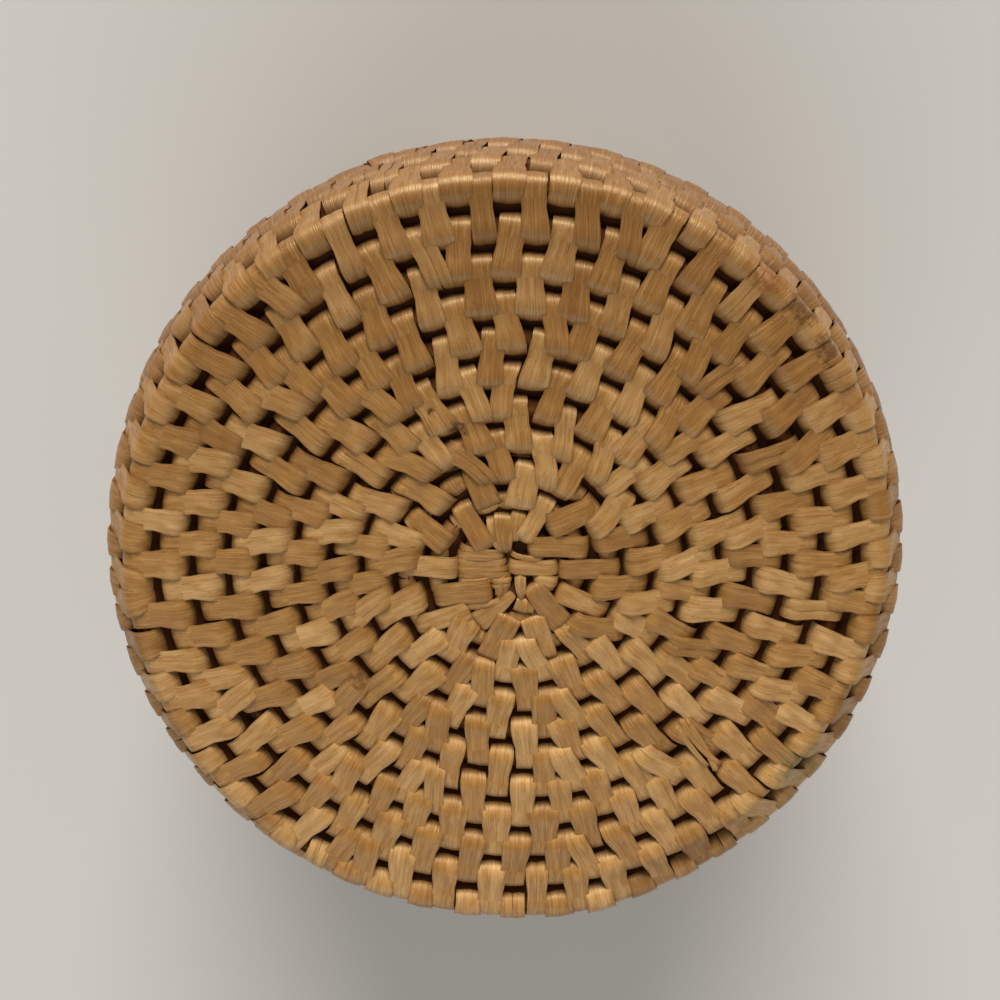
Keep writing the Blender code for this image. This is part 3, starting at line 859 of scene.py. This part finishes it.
def splint_material(name, colours, pale, golden, brown, handled):
    """Split rattan peel: satin, tan to gold, grained lengthwise, darkened in the gaps partly as
    dusty grime and partly as painted shading, with painted shading along its edges and on the
    basket's +Y side.
    """
    material, tree, shader = new_material(name)
    strip = add_node(tree, 'ShaderNodeUVMap', uv_map="strip").outputs[0]
    parts = add_node(tree, 'ShaderNodeSeparateXYZ', ((0, strip),)).outputs
    tone = add_node(tree, 'ShaderNodeAttribute', attribute_name="tone").outputs["Fac"]
    depth = add_node(tree, 'ShaderNodeAttribute', attribute_name="depth").outputs["Fac"]
    along = math_node(tree, 'MULTIPLY', parts[0], 1000.0)
    across = math_node(tree, 'MULTIPLY', parts[1], 2.4)
    salt = math_node(tree, 'MULTIPLY', tone, 97.0)
    grain = noise(tree, strip_point(tree, along, across, salt, 0.16, 4.5), 1.0, 3.0, 0.6)
    patch = noise(tree, strip_point(tree, along, across, salt, 0.35), 0.8, 2.0)
    fleck = noise(tree, strip_point(tree, along, across, salt, 1.4, 4.0), 1.3, 1.0)
    crack = noise(tree, strip_point(tree, along, across, salt, 0.05, 3.2, 5.0), 1.5, 1.0)

    base = ramp(tree, math_node(tree, 'ADD', math_node(tree, 'MULTIPLY', tone, 0.30),
                                math_node(tree, 'MULTIPLY', patch, 0.6)),
                ((0.12, linear(brown)), (0.43, linear(golden)), (0.85, linear(pale))))
    wall = add_node(tree, 'ShaderNodeAttribute', attribute_name="wall").outputs["Fac"]
    base = mix_colour(tree, math_node(tree, 'MULTIPLY', wall, 0.8), base, linear(handled))
    place = add_node(tree, 'ShaderNodeTexCoord').outputs["Object"]
    # painted shade: splints more than 5 mm towards +Y darken towards brown, because that side of
    # the basket gets less light
    painted_side_shade = add_node(tree, 'ShaderNodeSeparateXYZ', ((0, place),)).outputs[1]
    painted_side_shade = math_node(tree, 'MULTIPLY', above(tree, painted_side_shade, 0.005, 12.0), 0.85)
    base = mix_colour(tree, painted_side_shade, base, linear(colours.brown))
    streak = math_node(tree, 'MULTIPLY', math_node(tree, 'SUBTRACT', grain, 0.5), 2.2)
    for side, strength, tint in (('MAXIMUM', 0.75, colours.brown), ('MINIMUM', -0.6, colours.pale)):
        one_side = math_node(tree, side, streak, 0.0)
        one_side = math_node(tree, 'MULTIPLY', one_side, strength, True)
        base = mix_colour(tree, one_side, base, linear(tint))
    crack = math_node(tree, 'MULTIPLY', above(tree, crack, 0.66, 12.0), 0.55)
    base = mix_colour(tree, crack, base, linear(colours.dust_and_shade))
    for x, y, radius, strength, key in STAINS:
        base = mix_colour(tree, stain(tree, place, x, y, radius, strength), base,
                          linear(getattr(colours, key)))
    dots = math_node(tree, 'MULTIPLY', above(tree, fleck, 0.66, 9.0), 0.7)
    base = mix_colour(tree, dots, base, linear(colours.dust_and_shade))
    # painted shade: each splint darkens towards brown near its edges, for the thin shadow lines
    # between strips
    painted_edge_shade = above(tree, math_node(tree, 'ABSOLUTE', parts[1]), 0.82, 3.0)
    base = mix_colour(tree, painted_edge_shade, base, linear(colours.brown))
    # painted shade and dust: the splint darkens towards the gaps it dives into
    gap_dust_and_shade = math_node(tree, 'MULTIPLY', math_node(tree, 'POWER', depth, 1.4), 0.85)
    base = mix_colour(tree, gap_dust_and_shade, base, linear(colours.dust_and_shade))
    tree.links.new(base, shader.inputs["Base Color"])
    rough = math_node(tree, 'ADD', math_node(tree, 'MULTIPLY', grain, 0.3), 0.22)
    rough = math_node(tree, 'ADD', rough, math_node(tree, 'MULTIPLY', depth, 0.5))
    tree.links.new(rough, shader.inputs["Roughness"])
    bump = add_node(tree, 'ShaderNodeBump',
                    (("Height", grain), ("Strength", 0.6), ("Distance", 0.00018)))
    tree.links.new(bump.outputs[0], shader.inputs["Normal"])
    shader.inputs["Specular IOR Level"].default_value = 1.0
    shader.inputs["Specular Tint"].default_value = linear(colours.sheen)
    return material


def core_material(colours):
    """Foundation cane under thin wraps: dry and dull, with painted shading: brown on its face,
    darker in the gaps, where it shows only between the splints.
    """
    material, tree, shader = new_material("foundation_cane")
    place = add_node(tree, 'ShaderNodeTexCoord').outputs["Object"]
    depth = add_node(tree, 'ShaderNodeAttribute', attribute_name="depth").outputs["Fac"]
    blotch = noise(tree, place, 700.0, 3.0)
    # painted shade: the cane's face, seen only between the splints, is painted dark brown, and
    # darker still deep in the gaps
    base = ramp(tree, blotch, ((0.3, linear(colours.dust_and_shade)), (0.7, linear(colours.brown))))
    painted_gap_shade = math_node(tree, 'POWER', depth, 1.5)
    base = mix_colour(tree, painted_gap_shade, base, linear(colours.core))
    tree.links.new(base, shader.inputs["Base Color"])
    shader.inputs["Roughness"].default_value = 0.9
    shader.inputs["Specular IOR Level"].default_value = 0.1
    return material


# --- pieces ------------------------------------------------------------------------------------

MADE = {}


def shared(context):
    """What the operators share: settings, coils, splints, templates and materials, made once."""
    if MADE:
        return MADE
    scene = context.scene
    sizes, splint, colours = scene.basket_sizes, scene.basket_splint, scene.basket_colours
    basket = Basket(sizes)
    rng = np.random.default_rng(splint.seed)
    body_end, lid_end, neck_end = basket.body.turns(), basket.lid.turns(), basket.neck.turns()
    half = 0.5 / SOLID_STEPS
    MADE.update(
        sizes=sizes, splint=splint, basket=basket,
        body=stitch_coil(basket.body, splint, rng, CROSSINGS, ((body_end - 1, body_end),)),
        lid=stitch_coil(basket.lid, splint, rng, CROSSINGS, ((lid_end - 1, lid_end),)),
        neck=stitch_coil(basket.neck, splint, rng, bare_places(basket.neck, splint),
                         ((0, 1.0), (neck_end - 1, neck_end))),
        templates={"splint": Swept(len(ACROSS), len(STATIONS), True, 0),
                   "drawn": Swept(len(ACROSS), 2 * len(END_INSET) + FLAT_RINGS, False, 0)},
        core=core_material(colours),
        tan=splint_material("split_rattan", colours, colours.pale, colours.golden,
                            colours.brown, colours.wall),
        light=splint_material("split_rattan_neck", colours, colours.neck, colours.neck,
                              colours.pale, colours.neck),
        splices={
            "start": START_TURNS + half,
            "wall": basket.body_wall + half,
            "shoulder": body_end - sizes.shoulder_rows - half,
            "body_end": body_end,
            "lid_wall": basket.lid_wall + half,
            "rim": lid_end - sizes.lid_rim_rows - half,
            "lid_end": lid_end,
            "neck_end": neck_end,
        },
    )
    return MADE


def make_piece(context, node, coil_name, low, high):
    """One length of coiled cane with its splints, in the place of its solid."""
    made = shared(context)
    basket = made["basket"]
    coil = getattr(basket, coil_name)
    splices = {0: 0.0, **made["splices"]}
    weave = Weave()
    add_length(weave, made["templates"], coil, made["splint"], made[coil_name],
               splices[low], splices[high])
    drawn = {"base_start": START_SPLINTS, "lid_start": START_SPLINTS, "base_coil": SECOND_SPLINTS,
             "lid_top_coil": SECOND_SPLINTS + LOOSE_SPLINTS}.get(node, ())
    drawn_inside = [row for row in drawn if row not in LOOSE_SPLINTS]
    for table, inside in ((drawn, False), (drawn_inside, True)):
        if table:
            rings, lengths, depth = drawn_rings(made["sizes"], made["splint"], table, inside)
            tones = np.random.default_rng(made["splint"].seed).uniform(0, 1, len(rings))
            weave.add(made["templates"]["drawn"], rings, lengths, ACROSS, tones, depth, 0 * depth)
    on_lid = coil_name == "lid"
    place = basket.lid_place if on_lid else basket.body_place
    mesh = weave.mesh(node + "_weave", place, made["sizes"], made["splint"], not on_lid)
    mesh.materials.append(made["light" if coil_name == "neck" else "tan"])
    mesh.materials.append(made["core"])
    piece = bpy.data.objects.new(node + "_weave", mesh)
    context.scene.collection.objects.link(piece)
    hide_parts(node)
    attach(piece, "lid" if on_lid else "basket")


class AddPiece:
    """What the piece operators have in common."""

    bl_options = {'REGISTER', 'UNDO'}
    lengths = ()

    def execute(self, context):
        for node, coil_name, low, high, slot in self.lengths:
            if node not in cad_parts:
                self.report({'ERROR'}, "there is no solid named " + node)
                raise RuntimeError("there is no solid named " + node)
            make_piece(context, node, coil_name, low, high)
        return {'FINISHED'}


class BASKET_OT_base(AddPiece, bpy.types.Operator):
    """Add the base, a flat coil pressed level where it stands"""

    bl_idname = "basket.base"
    bl_label = "Add Base"
    lengths = (("base_start", "body", 0, "start", "rattan_body"),
               ("base_coil", "body", "start", "wall", "rattan_body"))


class BASKET_OT_wall(AddPiece, bpy.types.Operator):
    """Add the wall and its shoulder rows"""

    bl_idname = "basket.wall"
    bl_label = "Add Wall"
    lengths = (("wall_coil", "body", "wall", "shoulder", "rattan_body"),
               ("shoulder_coil", "body", "shoulder", "body_end", "rattan_body"))


class BASKET_OT_neck(AddPiece, bpy.types.Operator):
    """Add the neck inside the mouth"""

    bl_idname = "basket.neck"
    bl_label = "Add Neck"
    lengths = (("neck_coil", "neck", 0, "neck_end", "rattan_neck"),)


class BASKET_OT_lid(AddPiece, bpy.types.Operator):
    """Add the lid's top, wall and rim"""

    bl_idname = "basket.lid"
    bl_label = "Add Lid"
    lengths = (("lid_start", "lid", 0, "start", "rattan_lid"),
               ("lid_top_coil", "lid", "start", "lid_wall", "rattan_lid"),
               ("lid_wall_coil", "lid", "lid_wall", "rim", "rattan_lid"),
               ("lid_rim_coil", "lid", "rim", "lid_end", "rattan_lid"))


# --- stage -------------------------------------------------------------------------------------

class BASKET_OT_stage(bpy.types.Operator):
    """Add the floor, the light and the camera"""

    bl_idname = "basket.stage"
    bl_label = "Add Stage"
    bl_options = {'REGISTER', 'UNDO'}

    def execute(self, context):
        scene = context.scene
        material, _tree, shader = new_material("pale_floor")
        shader.inputs["Base Color"].default_value = linear(scene.basket_colours.floor)
        shader.inputs["Roughness"].default_value = 0.9
        work = bmesh.new()
        bmesh.ops.create_grid(work, x_segments=1, y_segments=1, size=20.0)
        mesh = bpy.data.meshes.new("floor")
        work.to_mesh(mesh)
        work.free()
        mesh.materials.append(material)
        floor = bpy.data.objects.new("floor", mesh)
        floor.location = (0, 0, -0.0005)
        scene.collection.objects.link(floor)

        world = bpy.data.worlds.new("soft_light")
        scene.world = world
        world.use_nodes = True
        background = world.node_tree.nodes["Background"]
        background.inputs[0].default_value = (1.0, 1.0, 1.0, 1.0)
        background.inputs[1].default_value = 0.30
        self.add_light(scene, "window", -3, 20, 4.9, 35)
        self.add_light(scene, "bounce", 188, 35, 1.2, 60)
        self.add_camera(scene)
        scene.view_settings.view_transform = 'Standard'
        return {'FINISHED'}

    def add_light(self, scene, name, bearing, height, strength, spread):
        """A soft light from far away: bearing from +Y, height and spread in degrees."""
        light = bpy.data.lights.new(name, 'SUN')
        light.angle = math.radians(spread)
        light.energy = strength
        lamp = bpy.data.objects.new(name, light)
        bearing, height = math.radians(bearing), math.radians(height)
        towards = Vector((math.sin(bearing) * math.cos(height),
                          math.cos(bearing) * math.cos(height), math.sin(height)))
        lamp.location = towards * 0.8
        lamp.rotation_euler = (-towards).to_track_quat('-Z', 'Y').to_euler()
        scene.collection.objects.link(lamp)

    def add_camera(self, scene):
        """The photograph's camera, worked out from the outline of the disc."""
        distance, tilt, sideways = 0.227598, 0.3418, -0.0159
        roll, aim_right, aim_up = 0.0262, -0.0061, 0.0602
        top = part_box("lid_start")[1].z
        offset = Vector((math.cos(tilt) * math.sin(sideways), math.sin(tilt),
                         math.cos(tilt) * math.cos(sideways))) * distance
        forward = -offset.normalized()
        right = forward.cross(Vector((0, 1, 0))).normalized()
        up = right.cross(forward)
        forward = (forward + right * aim_right + up * aim_up).normalized()
        right = forward.cross(Vector((0, 1, 0))).normalized()
        up = right.cross(forward)
        turned_right = right * math.cos(roll) + up * math.sin(roll)
        turned_up = up * math.cos(roll) - right * math.sin(roll)
        lens = bpy.data.cameras.new("photo_camera")
        lens.sensor_width = 36.0
        lens.lens = 46.8
        lens.clip_start = 0.01
        camera = bpy.data.objects.new("photo_camera", lens)
        rotation = Matrix((turned_right, turned_up, -forward)).transposed()
        camera.matrix_world = Matrix.Translation(offset + Vector((0, 0, top))) @ rotation.to_4x4()
        scene.collection.objects.link(camera)
        scene.camera = camera


class BASKET_PT_panel(bpy.types.Panel):
    """Sizes, colours and the steps, in the sidebar"""

    bl_label = "Rattan Basket"
    bl_idname = "BASKET_PT_panel"
    bl_space_type = 'VIEW_3D'
    bl_region_type = 'UI'
    bl_category = "Basket"

    def draw(self, context):
        layout = self.layout
        scene = context.scene
        for group in (scene.basket_sizes, scene.basket_splint, scene.basket_colours):
            column = layout.column(align=True)
            for key in group.__annotations__:
                column.prop(group, key)
        for step in STEPS:
            layout.operator(step.bl_idname)


STEPS = (BASKET_OT_base, BASKET_OT_wall, BASKET_OT_neck, BASKET_OT_lid, BASKET_OT_stage)
CLASSES = (BasketSizes, SplintSizes, BasketColours) + STEPS + (BASKET_PT_panel,)


def register():
    """Register the classes and hang the settings on the scene."""
    for kind in CLASSES:
        bpy.utils.register_class(kind)
    bpy.types.Scene.basket_sizes = bpy.props.PointerProperty(type=BasketSizes)
    bpy.types.Scene.basket_splint = bpy.props.PointerProperty(type=SplintSizes)
    bpy.types.Scene.basket_colours = bpy.props.PointerProperty(type=BasketColours)


def unregister():
    """Take the settings and the classes away."""
    del bpy.types.Scene.basket_colours
    del bpy.types.Scene.basket_splint
    del bpy.types.Scene.basket_sizes
    for kind in reversed(CLASSES):
        bpy.utils.unregister_class(kind)


def main():
    """Register the classes and build the pieces and the stage in order."""
    register()
    bpy.ops.basket.base()
    bpy.ops.basket.wall()
    bpy.ops.basket.neck()
    bpy.ops.basket.lid()
    bpy.ops.basket.stage()


if __name__ == "__main__":
    main()
